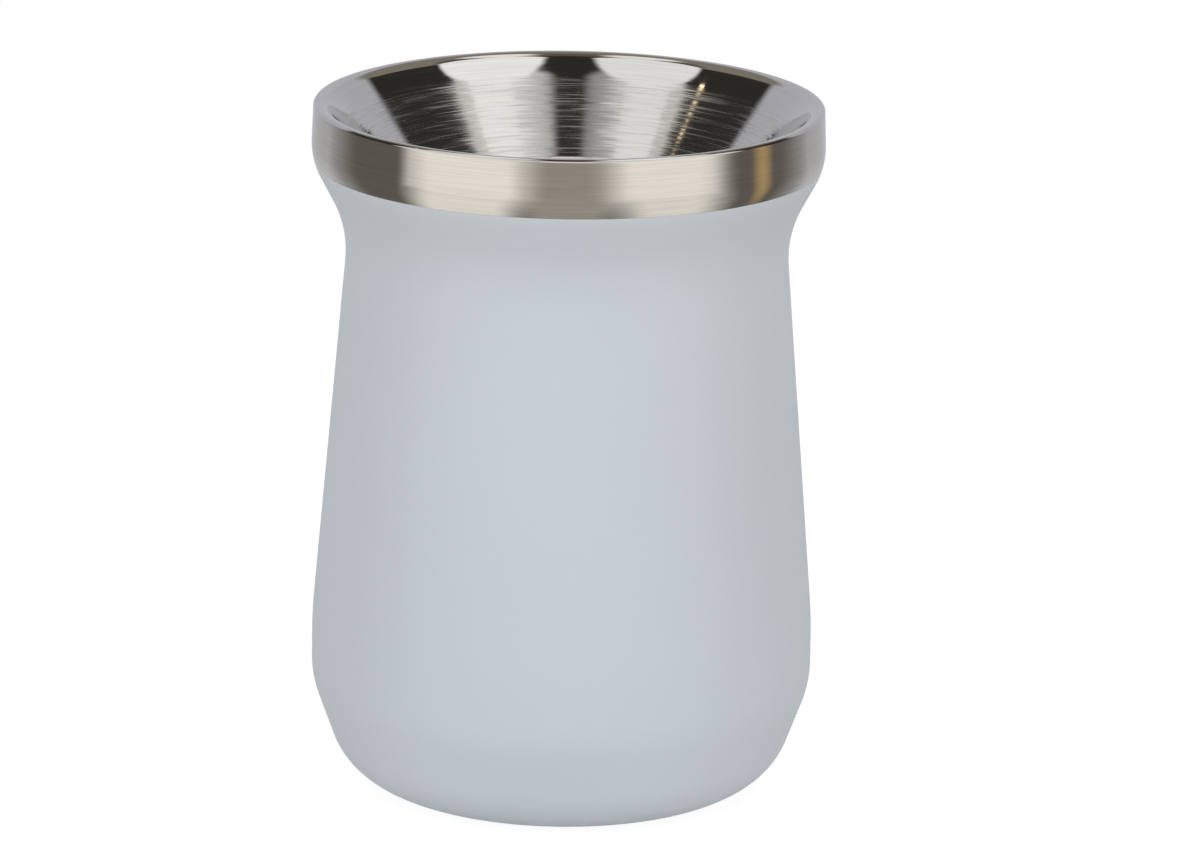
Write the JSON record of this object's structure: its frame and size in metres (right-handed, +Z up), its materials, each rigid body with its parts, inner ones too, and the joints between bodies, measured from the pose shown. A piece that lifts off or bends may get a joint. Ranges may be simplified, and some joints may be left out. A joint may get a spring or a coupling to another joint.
{
  "type": "mate cup",
  "caption": "Double-wall vacuum mate cup: waisted coated shell, bare steel band, rolled lip and funnel mouth over a straight drinking chamber, recessed base.",
  "frame": {"origin": "centre of the foot plane, where the cup stands on a table", "axes": "+Z up along the axis of revolution, towards the mouth; -Y faces the camera of the picture"},
  "size_m": [0.0804, 0.0804, 0.11],
  "materials": {
    "coat": "satin pale blue-grey powder coat",
    "spun_steel": "bare stainless steel, brushed round the axis",
    "raw_steel": "stamped stainless steel, as rolled",
    "solder_glass": "dark fused sealing glass",
    "sintered_alloy": "pressed dark grey powder metal",
    "bond_film": "cured cream adhesive"
  },
  "bodies": {
    "root": {"outer_shell": "coat", "inner_liner": "spun_steel", "liner_bottom": "spun_steel", "base_pan": "raw_steel", "base_cover": "spun_steel", "cover_adhesive": "bond_film", "seal_bead": "solder_glass", "getter_pill": "sintered_alloy", "getter_clip": "raw_steel"}
  },
  "joints": []
}
